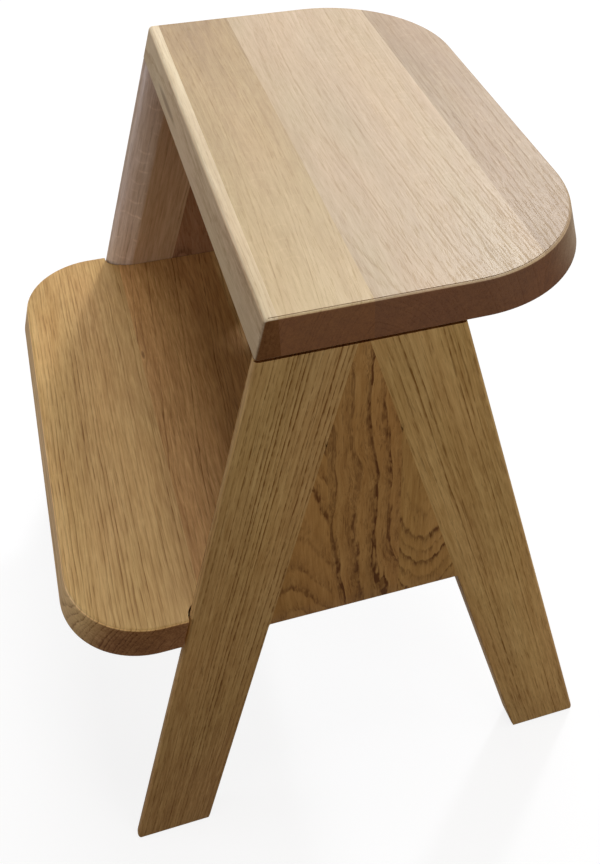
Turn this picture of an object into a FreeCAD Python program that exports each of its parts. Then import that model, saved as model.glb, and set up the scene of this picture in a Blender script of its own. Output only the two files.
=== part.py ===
import FreeCAD, Part
import Sketcher
import os

# An oak side table stool: a seat and a lower step carried by two splayed A-shaped side frames.
# Millimetres and degrees. X is the width, the step is at -Y, Z is up, and the stool stands on z = 0.

sizes = {
    "height": 450,                # floor to seat top
    "board_thickness": 24,        # seat and step
    "seat_width": 356,            # over the frames, at the seat's underside
    "seat_depth": 203,            # top face, front edge to rear edge
    "seat_corner_radius": 87.5,   # the two rear corners
    "square_corner_round": 3,     # the seat's two front corners
    "top_edge_round": 2,          # top edges of seat and step
    "under_edge_chamfer": 1,      # lower edges of seat and step
    "frame_splay_angle": 6.2,     # each frame leans in towards the seat
    "frame_thickness": 18,
    "leg_rake_angle": 16.6,       # legs lean, measured in the frame's own plane
    "leg_width": 54,              # square across the leg
    "apex_gap": 6,                # between the two legs under the seat
    "nose_round": 3,              # outer corner of a leg's free edge
    "nose_flat": 1,               # left flat on that edge, before the inner corner's long round
    "inner_round_reach": 24,      # the long round, across the leg
    "inner_round_nose": 9,        # radius of its tight end
    "foot_round": 6,              # the foot's edge under the arch
    "sole_chamfer": 1.5,          # the foot's other edges
    "frame_top_chamfer": 1,       # makes the shadow line under the seat
    "infill_stave": 46,           # middle stave of each infill panel
    "step_height": 239,           # floor to step top
    "step_projection": 73,        # in front of the legs, at the step's top
    "step_depth": 240,
    "step_corner_radius": 58,
    "notch_clearance": 0.4,       # between the step and the frames
    "seat_strip": 7,              # staves, as widths on the top face from the front edge
    "seat_front_stave": 51,
    "seat_middle_stave": 102,
    "step_front_stave": 82,
    "step_middle_stave": 82,
    "dowel_diameter": 8,
    "dowel_length": 40,
    "dowel_in_seat": 15,
    "dowel_in_panel": 12,
    "seat_dowel_setback": 20,     # first dowel behind the front of the leg, under the seat
    "seat_dowel_spacing": 20,
    "step_dowel_spacing": 70,
    "tenon_length": 30,           # half in the leg and half in the infill panel
    "tenon_width": 22,
    "tenon_thickness": 6,
    "tenon_rise": 34,             # lowest tenon above the panel's lower edge
    "tenon_spacing": 42,
    "joint_clearance": 0.1,       # all round a dowel or tenon
}

doc = FreeCAD.newDocument("side_table_stool")
sheet = doc.addObject("Spreadsheet::Sheet", "sizes")
for row, (alias, number) in enumerate(sizes.items(), start=1):
    sheet.set(f"A{row}", alias)
    sheet.set(f"B{row}", str(number))
    sheet.setAlias(f"B{row}", alias)
doc.recompute()

# Places worked out from the sizes, as expressions that the document keeps
rake = "(sizes.leg_rake_angle * 1deg)"
splay = "(sizes.frame_splay_angle * 1deg)"
slope = f"(tan{rake} / cos{splay})"                            # depth gained per height, along a leg
underside = "(sizes.height - sizes.board_thickness)"           # seat's underside and top of the frames
stepUnder = "(sizes.step_height - sizes.board_thickness)"      # step's underside and panel's lower edge
stepDrop = f"({underside} - sizes.step_height)"
legDepth = f"(sizes.leg_width / cos{rake})"                    # a leg's width along Y
halfTop = f"(sizes.apex_gap / 2 + {legDepth})"                 # half the frame's depth under the seat
middle = f"((sizes.step_projection - {stepUnder} * {slope}) / 2)"   # centre line of the frames in Y
legFront = f"({middle} - {halfTop})"                           # front of the front legs under the seat
seatFront = f"({legFront} + sizes.board_thickness * {slope})"  # seat's front edge on the top face
seatRear = f"({seatFront} + sizes.seat_depth)"
stepFront = f"({legFront} - {stepDrop} * {slope} - sizes.step_projection)"
stepRear = f"({stepFront} + sizes.step_depth)"
frameAcross = f"(sizes.frame_thickness / cos{splay})"          # frame thickness along X
bevel = f"(sizes.board_thickness * {slope})"                   # front and rear edges lean as the legs do
lean = f"(sizes.board_thickness * tan{splay})"                 # ends lean as the frames do
span = "(sizes.seat_width + sizes.height)"                     # longer than any piece
legTurn = "rotationy(-sizes.frame_splay_angle) * rotationz(90) * rotationy(sizes.leg_rake_angle)"
legCorner = f"vector(sizes.seat_width / 2; {legFront}; {underside})"


tolerance = 0.001


def value(expression):
    return float(sheet.evalExpression(expression))


def point(x, y):
    return FreeCAD.Vector(value(x), value(y), 0)


def newSketch(body, name, height="0"):
    sketch = body.newObject("Sketcher::SketchObject", name)
    planes = [plane for plane in body.Origin.OriginFeatures if plane.Role == "XY_Plane"]
    sketch.AttachmentSupport = [(planes[0], "")]
    sketch.MapMode = "FlatFace"
    sketch.setExpression("AttachmentOffset.Base.z", height)
    return sketch


def drive(sketch, expression, kind, *ends):
    index = sketch.addConstraint(Sketcher.Constraint(kind, *ends, value(expression)))
    sketch.setExpression(f"Constraints[{index}]", expression)


def drawOutline(sketch, corners):
    # A closed outline, anticlockwise. A corner with a third value starts an arc of that radius.
    following = corners[1:] + corners[:1]
    for corner, after in zip(corners, following):
        start = point(*corner[:2])
        finish = point(*after[:2])
        if len(corner) == 2:
            sketch.addGeometry(Part.LineSegment(start, finish))
            continue
        radius = value(corner[2])
        chord = finish - start
        rise = (radius ** 2 - (chord.Length / 2) ** 2) ** 0.5
        inward = FreeCAD.Vector(-chord.y, chord.x, 0).normalize()
        centre = (start + finish) * 0.5 + inward * rise
        circle = Part.Circle(centre, FreeCAD.Vector(0, 0, 1), radius)
        sketch.addGeometry(Part.ArcOfCircle(circle, circle.parameter(start), circle.parameter(finish)))
    for index, corner in enumerate(corners):
        before = (index - 1) % len(corners)
        sketch.addConstraint(Sketcher.Constraint("Coincident", before, 2, index, 1))
        drive(sketch, corner[0], "DistanceX", -1, 1, index, 1)
        drive(sketch, corner[1], "DistanceY", -1, 1, index, 1)
        if len(corner) == 3:
            drive(sketch, corner[2], "Radius", index)
    return sketch


def newPad(body, sketch, length):
    pad = body.newObject("PartDesign::Pad", body.Name + "_pad")
    pad.Profile = sketch
    pad.setExpression("Length", length)
    doc.recompute()
    return pad


def newBox(name, low, high):
    # A box between two corners given as expressions.
    box = doc.addObject("Part::Box", name)
    for side, start, finish in zip(("Length", "Width", "Height"), low, high):
        box.setExpression(side, f"{finish} - {start}")
    box.setExpression("Placement", f"placement(vector({low[0]}; {low[1]}; {low[2]}); rotationz(0))")
    return box


def newPair(kind, name, base, tool):
    pair = doc.addObject(kind, name)
    pair.Base = base
    pair.Tool = tool
    doc.recompute()
    return pair


def newCut(name, base, tool):
    return newPair("Part::Cut", name, base, tool)


def newCommon(name, base, tool):
    return newPair("Part::Common", name, base, tool)


def newGroup(name, members):
    group = doc.addObject("Part::Compound", name)
    group.Links = members
    doc.recompute()
    return group


def frontToRear(name, source):
    # The frames are alike front and rear, about their own centre line.
    mirrored = doc.addObject("Part::Mirroring", name)
    mirrored.Source = source
    mirrored.Normal = (0, 1, 0)
    mirrored.setExpression("Base.y", middle)
    doc.recompute()
    return mirrored


def rightToLeft(name, source):
    mirrored = doc.addObject("Part::Mirroring", name)
    mirrored.Source = source
    mirrored.Normal = (1, 0, 0)
    doc.recompute()
    return mirrored


def pickEdges(shape, wanted):
    return [index for index, edge in enumerate(shape.Edges, start=1) if wanted(edge)]


def atHeight(edge, height):
    return all(abs(vertex.Z - height) < tolerance for vertex in edge.Vertexes)


def easeEdges(name, kind, base, wanted, size):
    # Rounds or chamfers edges of a finished piece.
    eased = doc.addObject(kind, name)
    eased.Base = base
    eased.Edges = [(index, value(size), value(size)) for index in pickEdges(base.Shape, wanted)]
    doc.recompute()
    return eased


def easeBody(body, base, kind, amount, wanted, size):
    # Rounds or chamfers edges inside a body, and gives back the eased feature.
    eased = body.newObject(kind, body.Name + "_eased")
    eased.Base = (base, [f"Edge{index}" for index in pickEdges(base.Shape, wanted)])
    eased.setExpression(amount, size)
    doc.recompute()
    return eased


def roundBody(body, base, wanted, radius):
    return easeBody(body, base, "PartDesign::Fillet", "Radius", wanted, radius)


def chamferBody(body, base, wanted, size):
    return easeBody(body, base, "PartDesign::Chamfer", "Size", wanted, size)


# Side frame pieces, drawn for the right front leg and mirrored
roundStart = "(sizes.nose_round + sizes.nose_flat)"
roundDepth = f"(sizes.frame_thickness - {roundStart})"
roundFlat = (f"(((sizes.inner_round_reach - sizes.inner_round_nose)^2 + {roundDepth}^2"
             f" - sizes.inner_round_nose^2) / (2 * ({roundDepth} - sizes.inner_round_nose)))")


def innerRound(clearance):
    # The long round on a leg's inner corner: a tight arc that runs into a flat one.
    tight = f"(sizes.inner_round_nose + {clearance})"
    flat = f"({roundFlat} + {clearance})"
    share = f"({tight} / ({roundFlat} - sizes.inner_round_nose))"
    joinX = f"sizes.inner_round_nose - (sizes.inner_round_reach - sizes.inner_round_nose) * {share}"
    joinY = f"{roundStart} + ({roundFlat} - {roundDepth}) * {share}"
    inner = f"sizes.frame_thickness + {clearance}"
    return [("sizes.inner_round_reach", inner, flat), (joinX, joinY, tight), (f"-{clearance}", roundStart)]


legDrop = f"({underside} / (cos{splay} * cos{rake}) + sizes.leg_width)"


def newLegBody(name, corners):
    # A board run along the leg's own line, from below the floor to above the seat's underside.
    body = doc.addObject("PartDesign::Body", name)
    sketch = drawOutline(newSketch(body, name + "_section", f"-{legDrop}"), corners)
    newPad(body, sketch, f"{legDrop} + sizes.leg_width")
    body.setExpression("Placement", f"placement({legCorner}; {legTurn})")
    doc.recompute()
    return body


legBlank = newLegBody("leg_blank", [
    ("sizes.nose_round", "0"),
    ("sizes.leg_width", "0"),
    ("sizes.leg_width", "sizes.frame_thickness"),
    *innerRound("0"),
    ("0", "sizes.nose_round", "sizes.nose_round"),
])
frameSpace = newBox("frame_space", ("0", f"-{span}", "0"), (span, span, underside))
legCut = newCommon("leg_cut", legBlank, frameSpace)


def crossesThickness(edge):
    along = edge.Vertexes[-1].Point - edge.Vertexes[0].Point
    return edge.Curve.TypeId == "Part::GeomLine" and abs(along.x) > abs(along.y)


def isArchEdge(edge):
    # The foot's straight edge under the arch
    return atHeight(edge, 0) and crossesThickness(edge) and edge.Length > value(roundStart)


def isNoseEdge(edge):
    # The start of the smooth run of edges round the rest of the foot
    footFront = value(f"{legFront} - {underside} * {slope}")
    return atHeight(edge, 0) and edge.CenterOfMass.y < footFront + value("sizes.nose_round")


def isTopOuterEdge(edge):
    outside = value("sizes.seat_width / 2")
    return atHeight(edge, value(underside)) and abs(edge.CenterOfMass.x - outside) < tolerance


legTop = easeEdges("leg_top", "Part::Chamfer", legCut, isTopOuterEdge, "sizes.frame_top_chamfer")
legSole = easeEdges("leg_sole", "Part::Chamfer", legTop, isNoseEdge, "sizes.sole_chamfer")
legFoot = easeEdges("leg_foot", "Part::Fillet", legSole, isArchEdge, "sizes.foot_round")

# Loose tenons, square across the joint between leg and infill panel
tenonMiddle = (f"(({stepUnder} + sizes.tenon_rise - {underside} + sizes.leg_width * sin{rake} * cos{splay}"
               f" + sizes.frame_thickness / 2 * sin{splay}) / (cos{rake} * cos{splay}))")


def newTenon(name, number, clearance):
    tenon = doc.addObject("Part::Box", name)
    tenon.setExpression("Length", f"sizes.tenon_length + 2 * {clearance}")
    tenon.setExpression("Width", f"sizes.tenon_thickness + 2 * {clearance}")
    tenon.setExpression("Height", f"sizes.tenon_width + 2 * {clearance}")
    across = f"sizes.leg_width - sizes.tenon_length / 2 - {clearance}"
    inward = f"(sizes.frame_thickness - sizes.tenon_thickness) / 2 - {clearance}"
    along = f"{tenonMiddle} + {number} * sizes.tenon_spacing - sizes.tenon_width / 2 - {clearance}"
    seat = f"placement(vector({across}; {inward}; {along}); rotationz(0))"
    tenon.setExpression("Placement", f"placement({legCorner}; {legTurn}) * {seat}")
    return tenon


def newTenonPair(name, clearance):
    return newGroup(name, [newTenon(f"{name}_{number}", number, clearance) for number in (0, 1)])


# Dowels: upright ones into the seat, level ones into the step
dowelInLeg = "(sizes.dowel_length - sizes.dowel_in_seat)"
seatDowelX = f"(sizes.seat_width / 2 - {frameAcross} / 2 + {dowelInLeg} / 2 * tan{splay})"
seatDowelY = f"({legFront} + sizes.seat_dowel_setback)"
stepMiddleDrop = f"({stepDrop} + sizes.board_thickness / 2)"
stepDowelX = f"(sizes.seat_width / 2 + {stepMiddleDrop} * tan{splay} - {frameAcross})"
stepDowelY = f"({middle} - sizes.step_dowel_spacing / 2)"


def newDowel(name, place, turn, clearance):
    dowel = doc.addObject("Part::Cylinder", name)
    dowel.setExpression("Radius", f"sizes.dowel_diameter / 2 + {clearance}")
    dowel.setExpression("Height", f"sizes.dowel_length + 2 * {clearance}")
    start = f"placement(vector(0; 0; -{clearance}); rotationz(0))"
    dowel.setExpression("Placement", f"placement(vector({place}); {turn}) * {start}")
    return dowel


def newSeatDowels(name, clearance):
    pair = []
    for number in (0, 1):
        y = f"{seatDowelY} + {number} * sizes.seat_dowel_spacing"
        place = f"{seatDowelX}; {y}; {underside} - {dowelInLeg}"
        pair.append(newDowel(f"{name}_{number}", place, "rotationz(0)", clearance))
    front = newGroup(name + "_front", pair)
    return newGroup(name, [front, frontToRear(name + "_rear", front)])


def newStepDowels(name, clearance):
    x = f"{stepDowelX} - sizes.dowel_length + sizes.dowel_in_panel"
    z = "sizes.step_height - sizes.board_thickness / 2"
    front = newDowel(name + "_front", f"{x}; {stepDowelY}; {z}", "rotationy(90)", clearance)
    return newGroup(name, [front, frontToRear(name + "_rear", front)])


fit = "sizes.joint_clearance"
tenons = newTenonPair("right_front_tenons", "0")
mortises = newTenonPair("front_mortises", fit)
seatDowels = newSeatDowels("right_seat_dowels", "0")
seatHoles = newSeatDowels("seat_holes", fit)
stepDowels = newStepDowels("right_step_dowels", "0")
stepHoles = newStepDowels("step_holes", fit)

frontLeg = newCut("right_front_leg", newCut("leg_mortised", legFoot, mortises), seatHoles)

# Infill panel: a wedge between the legs, drawn in the frame's plane and split into three staves
panelMargin = f"(2 * sizes.frame_thickness * tan{splay})"
panelDrop = f"(({underside} - {stepUnder}) / cos{splay} + {panelMargin})"
panelTop = f"(sizes.apex_gap / 2 - {panelMargin} * tan{rake})"
panelFoot = f"(sizes.apex_gap / 2 + {panelDrop} * tan{rake})"
panelBody = doc.addObject("PartDesign::Body", "panel_blank")
panelSketch = drawOutline(newSketch(panelBody, "panel_outline", "-sizes.frame_thickness"), [
    (f"-{panelFoot}", f"-{panelDrop}"),
    (panelFoot, f"-{panelDrop}"),
    (panelTop, panelMargin),
    (f"-{panelTop}", panelMargin),
])
newPad(panelBody, panelSketch, "sizes.frame_thickness")
panelPlace = f"vector(sizes.seat_width / 2; {middle}; {underside})"
panelTurn = "rotationz(90) * rotationx(90 - sizes.frame_splay_angle)"
panelBody.setExpression("Placement", f"placement({panelPlace}; {panelTurn})")
doc.recompute()

panelSpace = newBox("panel_space", ("0", f"-{span}", stepUnder), (span, span, underside))
panelDrilled = newCut("panel_drilled", newCommon("panel_cut", panelBody, panelSpace), stepHoles)
allMortises = newGroup("frame_mortises", [mortises, frontToRear("rear_mortises", mortises)])
panelCut = newCut("panel_mortised", panelDrilled, allMortises)
staveFront = f"({middle} - sizes.infill_stave / 2)"
staveRear = f"({middle} + sizes.infill_stave / 2)"
frontSpace = newBox("front_stave_space", ("0", f"-{span}", "0"), (span, staveFront, underside))
middleSpace = newBox("middle_stave_space", ("0", staveFront, "0"), (span, staveRear, underside))
frontStave = newCommon("right_infill_front", panelCut, frontSpace)
middleBlank = newCommon("middle_stave", panelCut, middleSpace)
middleStave = easeEdges("right_infill_middle", "Part::Chamfer", middleBlank,
                        isTopOuterEdge, "sizes.frame_top_chamfer")

# Rear and left pieces of the frames
right = {
    "front_leg": frontLeg,
    "rear_leg": frontToRear("right_rear_leg", frontLeg),
    "infill_front": frontStave,
    "infill_middle": middleStave,
    "infill_rear": frontToRear("right_infill_rear", frontStave),
    "front_tenons": tenons,
    "rear_tenons": frontToRear("right_rear_tenons", tenons),
    "seat_dowels": seatDowels,
    "step_dowels": stepDowels,
}
parts = []
for name, piece in right.items():
    parts += [piece, rightToLeft("left_" + name, piece)]


# Seat and step: boards with one pair of round corners, and edges that lean as the frames do
def newBoard(name, lower, upper):
    # Each face is given as its half width, front, rear and height.
    body = doc.addObject("PartDesign::Body", name)
    blank = body.newObject("PartDesign::AdditiveWedge", name + "_blank")
    blank.Placement = FreeCAD.Placement(FreeCAD.Vector(), FreeCAD.Rotation(FreeCAD.Vector(1, 0, 0), 90))
    for prefix, face in (("", lower), ("2", upper)):
        half, front, rear = face[:3]
        blank.setExpression(f"X{prefix}min", f"-{half}")
        blank.setExpression(f"X{prefix}max", half)
        blank.setExpression(f"Z{prefix}min", f"-{rear}")
        blank.setExpression(f"Z{prefix}max", f"-{front}")
    blank.setExpression("Ymin", lower[3])
    blank.setExpression("Ymax", upper[3])
    doc.recompute()
    return body, blank


def onLevel(height, leftSharp=None):
    # Edges at one height, apart from one that runs along X at a given depth.
    def wanted(edge):
        isSharp = leftSharp is not None and abs(edge.CenterOfMass.y - value(leftSharp)) < tolerance
        return atHeight(edge, value(height)) and not isSharp
    return wanted


def isUpright(edge):
    return edge.BoundBox.ZLength > value("sizes.board_thickness / 2")


def isFrontCorner(edge):
    return isUpright(edge) and edge.CenterOfMass.y < value(middle)


def isRearCorner(edge):
    return isUpright(edge) and edge.CenterOfMass.y > value(middle)


seatHalf = "(sizes.seat_width / 2)"
seatBody, seatBlank = newBoard(
    "seat",
    (seatHalf, legFront, f"({seatRear} + {bevel})", underside),
    (f"({seatHalf} - {lean})", seatFront, seatRear, "sizes.height"))
seatRounded = roundBody(seatBody, seatBlank, isRearCorner, "sizes.seat_corner_radius")
seatEased = roundBody(seatBody, seatRounded, isFrontCorner, "sizes.square_corner_round")
seatTop = roundBody(seatBody, seatEased, onLevel("sizes.height"), "sizes.top_edge_round")
chamferBody(seatBody, seatTop, onLevel(underside), "sizes.under_edge_chamfer")

stepHalf = f"({seatHalf} + {stepDrop} * tan{splay})"
stepBody, stepBlank = newBoard(
    "step",
    (f"({stepHalf} + {lean})", f"({stepFront} - {bevel})", stepRear, stepUnder),
    (stepHalf, stepFront, stepRear, "sizes.step_height"))
stepRounded = roundBody(stepBody, stepBlank, isFrontCorner, "sizes.step_corner_radius")
stepTop = roundBody(stepBody, stepRounded, onLevel("sizes.step_height", stepRear), "sizes.top_edge_round")
chamferBody(stepBody, stepTop, onLevel(stepUnder, stepRear), "sizes.under_edge_chamfer")

# The notch round each front leg. Behind it the step is only as wide as the room between the frames.
gap = "sizes.notch_clearance"
notch = newLegBody("right_notch", [
    (f"-{gap}", "-sizes.leg_width"),
    ("sizes.step_depth", "-sizes.leg_width"),
    ("sizes.step_depth", f"sizes.frame_thickness + {gap}"),
    *innerRound(gap),
])
stepNotched = newCut("step_notched_right", stepBody, notch)
stepNotched = newCut("step_notched", stepNotched, rightToLeft("left_notch", notch))


def drillBothSides(name, board, holes):
    drilled = newCut(name + "_drilled_right", board, holes)
    return newCut(name + "_drilled", drilled, rightToLeft(name + "_holes_left", holes))


def splitStaves(board, names, lines):
    # Cuts a board into staves along X, at lines counted from the front.
    edges = [f"-{span}", *lines, span]
    for name, front, rear in zip(names, edges, edges[1:]):
        space = newBox(name + "_space", (f"-{span}", front, "0"), (span, rear, "sizes.height"))
        parts.append(newCommon(name, board, space))


seatLine1 = f"({seatFront} + sizes.seat_strip)"
seatLine2 = f"({seatLine1} + sizes.seat_front_stave)"
seatLine3 = f"({seatLine2} + sizes.seat_middle_stave)"
splitStaves(drillBothSides("seat", seatBody, seatHoles),
            ("seat_front_strip", "seat_front_stave", "seat_middle_stave", "seat_rear_stave"),
            (seatLine1, seatLine2, seatLine3))
stepLine1 = f"({stepFront} + sizes.step_front_stave)"
stepLine2 = f"({stepLine1} + sizes.step_middle_stave)"
splitStaves(drillBothSides("step", stepNotched, stepHoles),
            ("step_front_stave", "step_middle_stave", "step_rear_stave"),
            (stepLine1, stepLine2))

# Nothing is written unless every object of the document is sound
doc.recompute()
for item in doc.Objects:
    if "Invalid" in item.State or "Error" in item.State:
        raise RuntimeError(f"{item.Label} failed: {item.State}")
for part in parts:
    if part.Shape.isNull() or not part.Shape.isValid():
        raise RuntimeError(f"{part.Label} has no sound shape")

os.makedirs("parts", exist_ok=True)
for part in parts:
    part.Shape.exportStep(f"parts/{part.Label}.step")
    print(f"{part.Label}: {len(part.Shape.Solids)} solids, {part.Shape.Volume / 1000:.1f} cm3")
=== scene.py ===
import math
import bmesh
import bpy
import numpy as np
from mathutils import Matrix, Vector


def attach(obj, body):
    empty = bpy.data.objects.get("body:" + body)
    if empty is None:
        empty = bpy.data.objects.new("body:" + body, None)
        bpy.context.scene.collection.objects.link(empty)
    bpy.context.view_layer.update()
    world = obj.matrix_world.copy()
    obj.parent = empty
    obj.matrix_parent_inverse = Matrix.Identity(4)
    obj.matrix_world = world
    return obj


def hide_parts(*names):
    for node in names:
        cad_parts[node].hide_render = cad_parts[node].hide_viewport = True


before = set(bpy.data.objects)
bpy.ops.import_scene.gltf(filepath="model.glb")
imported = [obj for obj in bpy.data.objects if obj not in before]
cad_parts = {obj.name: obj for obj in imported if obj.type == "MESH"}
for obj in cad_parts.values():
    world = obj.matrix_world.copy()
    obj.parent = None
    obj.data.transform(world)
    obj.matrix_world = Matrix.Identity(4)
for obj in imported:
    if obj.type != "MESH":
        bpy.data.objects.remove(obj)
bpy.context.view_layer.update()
print("frame loaded:", len(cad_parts), "nodes")

scene = bpy.context.scene
scene.view_settings.view_transform = "Standard"

# Camera, fitted to the photo's edges
photoCamera = {
    "place": (0.5356, -0.1235, 0.7571),
    "right": (0.30371, 0.95255, 0.01994),
    "up": (-0.69507, 0.20721, 0.68844),
    "back": (0.65164, -0.22295, 0.72502),
    "lens": 39.694,
    "shift": (-0.0602, -0.0021),
}


def addCamera(look):
    camera = bpy.data.objects.new("photoCamera", bpy.data.cameras.new("photoCamera"))
    turn = Matrix((look["right"], look["up"], look["back"])).transposed()
    camera.matrix_world = Matrix.Translation(look["place"]) @ turn.to_4x4()
    camera.data.lens = look["lens"]
    camera.data.shift_x, camera.data.shift_y = look["shift"]
    camera.data.clip_start = 0.01
    scene.collection.objects.link(camera)
    scene.camera = camera


addCamera(photoCamera)
print("camera placed")


# Small helpers for node trees. A value is another node's output, or a plain number, vector or colour.
def addNode(tree, kind, **settings):
    node = tree.nodes.new(kind)
    for name, setting in settings.items():
        setattr(node, name, setting)
    return node


def feed(tree, socket, value):
    if isinstance(value, bpy.types.NodeSocket):
        tree.links.new(value, socket)
    else:
        socket.default_value = value


def calc(tree, operation, *values, clamp=False):
    node = addNode(tree, "ShaderNodeMath", operation=operation, use_clamp=clamp)
    for socket, value in zip(node.inputs, values):
        feed(tree, socket, value)
    return node.outputs[0]


def calcVector(tree, operation, *values):
    node = addNode(tree, "ShaderNodeVectorMath", operation=operation)
    for socket, value in zip(node.inputs, values):
        feed(tree, socket, value)
    return node.outputs["Value" if operation == "DOT_PRODUCT" else "Vector"]


def ramp(tree, value, low, high, toLow=0.0, toHigh=1.0):
    node = addNode(tree, "ShaderNodeMapRange", interpolation_type="SMOOTHSTEP")
    for name, given in (("Value", value), ("From Min", low), ("From Max", high),
                        ("To Min", toLow), ("To Max", toHigh)):
        feed(tree, node.inputs[name], given)
    return node.outputs[0]


def noise(tree, vector, stretch, detail=1.0, roughness=0.5, output="Fac"):
    # Noise stretched by its own pitch in each direction, in cells per metre
    node = addNode(tree, "ShaderNodeTexNoise")
    feed(tree, node.inputs["Vector"], calcVector(tree, "MULTIPLY", vector, stretch))
    node.inputs["Scale"].default_value = 1.0
    node.inputs["Detail"].default_value = detail
    node.inputs["Roughness"].default_value = roughness
    return node.outputs[output]


def mixColour(tree, factor, first, second, blend="MIX"):
    node = addNode(tree, "ShaderNodeMix", data_type="RGBA", blend_type=blend)
    feed(tree, node.inputs[0], factor)
    feed(tree, node.inputs[6], first)
    feed(tree, node.inputs[7], second)
    return node.outputs[2]


def newGroup(name, inputs, outputs):
    group = bpy.data.node_groups.new(name, "ShaderNodeTree")
    for label, kind in inputs:
        group.interface.new_socket(name=label, in_out="INPUT", socket_type="NodeSocket" + kind)
    for label, kind in outputs:
        group.interface.new_socket(name=label, in_out="OUTPUT", socket_type="NodeSocket" + kind)
    start = addNode(group, "NodeGroupInput")
    end = addNode(group, "NodeGroupOutput")
    return group, start.outputs, end.inputs


def useGroup(tree, group, values):
    node = addNode(tree, "ShaderNodeGroup", node_tree=group)
    for label, value in values.items():
        feed(tree, node.inputs[label], value)
    return node.outputs


def tone(red, green, blue):
    # A colour as it looks on screen, 0 to 255, as the linear colour that nodes use
    shown = np.array([red, green, blue]) / 255
    linear = np.where(shown <= 0.04045, shown / 12.92, ((shown + 0.055) / 1.055) ** 2.4)
    return (*linear.tolist(), 1.0)


def split(tree, vector):
    node = addNode(tree, "ShaderNodeSeparateXYZ")
    feed(tree, node.inputs[0], vector)
    return node.outputs


def join(tree, *values):
    node = addNode(tree, "ShaderNodeCombineXYZ")
    for socket, value in zip(node.inputs, values):
        feed(tree, socket, value)
    return node.outputs[0]


def swing(tree, vector, stretch, **settings):
    # Noise about zero
    return calc(tree, "SUBTRACT", noise(tree, vector, stretch, **settings), 0.5)


def tinted(tree, colour, tint):
    return mixColour(tree, 1.0, colour, tint, blend="MULTIPLY")


def fromPith(tree, across, inward):
    square = calc(tree, "MULTIPLY", inward, inward)
    return calc(tree, "SQRT", calc(tree, "MULTIPLY_ADD", across, across, square))


# Wandering grain: slow and quicker noise moves the log's coordinates sideways, so that rings, pores and
# fibres all bend together
def buildGrainWander():
    sidePitch = 16                # slow waves per metre across the grain
    quicker = (4.5, 4.5, 3.0)     # pitch of the quick waves, in slow ones
    quickShare = 0.35
    group, given, put = newGroup("grainWander", [
        ("Vector", "Vector"), ("Waviness", "Float"), ("Wave Pitch", "Float"), ("Seed", "Float"),
    ], [("Vector", "Vector")])
    seed = given["Seed"]
    shift = join(group, calc(group, "MULTIPLY", seed, 0.173), 0.0, calc(group, "MULTIPLY", seed, 0.311))
    place = calcVector(group, "ADD", given["Vector"], shift)
    pitch = join(group, sidePitch, sidePitch, given["Wave Pitch"])
    quickPitch = calcVector(group, "MULTIPLY", pitch, quicker)
    slow = noise(group, place, pitch, detail=1.5, output="Color")
    quick = noise(group, place, quickPitch, detail=1.5, output="Color")
    bend = calcVector(group, "MULTIPLY_ADD", quick, (quickShare,) * 3, slow)
    bend = calcVector(group, "SUBTRACT", bend, (0.5 + 0.5 * quickShare,) * 3)    # about zero
    double = calc(group, "MULTIPLY", given["Waviness"], 2.0)
    sideways = join(group, double, double, 0.0)
    feed(group, put["Vector"], calcVector(group, "MULTIPLY_ADD", bend, sideways, given["Vector"]))
    return group


# Growth rings of a log whose pith runs along Z. The ring number is the distance from the pith, less the
# taper and sweep along the log, plus a ragged edge, over the ring width. Each ring starts with a dark line.
def buildTreeRings():
    group, given, put = newGroup("treeRings", [
        ("Vector", "Vector"), ("Ring Width", "Float"), ("Taper", "Float"), ("Sweep", "Float"),
        ("Raggedness", "Float"), ("Line Width", "Float"), ("Seed", "Float"),
    ], [("Line", "Float"), ("Band", "Float")])
    across, inward, along = split(group, given["Vector"])
    ragged = swing(group, given["Vector"], (300, 300, 26), detail=2.0)
    bow = calc(group, "MULTIPLY_ADD", along, given["Sweep"], given["Taper"])
    radius = calc(group, "SUBTRACT", fromPith(group, across, inward), calc(group, "MULTIPLY", along, bow))
    radius = calc(group, "MULTIPLY_ADD", ragged, given["Raggedness"], radius)
    number = calc(group, "ADD", calc(group, "DIVIDE", radius, given["Ring Width"]), given["Seed"])
    uneven = addNode(group, "ShaderNodeTexNoise", noise_dimensions="1D")    # good and poor years
    feed(group, uneven.inputs["W"], calc(group, "MULTIPLY", number, 0.41))
    uneven.inputs["Scale"].default_value = 1.0
    uneven.inputs["Detail"].default_value = 0.0
    number = calc(group, "MULTIPLY_ADD", calc(group, "SUBTRACT", uneven.outputs[0], 0.5), 1.1, number)
    phase = calc(group, "FRACT", number)
    ring = addNode(group, "ShaderNodeTexWhiteNoise", noise_dimensions="1D")
    feed(group, ring.inputs["W"], calc(group, "FLOOR", number))
    chance = ring.outputs[0]
    width = given["Line Width"]
    peak = calc(group, "MULTIPLY", width, 0.4)
    rise = ramp(group, phase, 0.0, peak)
    spread = calc(group, "MULTIPLY", width, calc(group, "MULTIPLY_ADD", chance, 0.7, 0.7))
    line = calc(group, "MULTIPLY", rise, ramp(group, phase, peak, spread, 1.0, 0.0))
    strong = calc(group, "MULTIPLY_ADD", calc(group, "MULTIPLY", chance, chance), 0.85, 0.3)
    feed(group, put["Line"], calc(group, "MULTIPLY", line, strong))
    band = calc(group, "MULTIPLY", rise, ramp(group, phase, 0.1, 1.0, 1.0, 0.0))
    feed(group, put["Band"], calc(group, "MULTIPLY", band, calc(group, "MULTIPLY_ADD", chance, 0.7, 0.5)))
    return group


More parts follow.
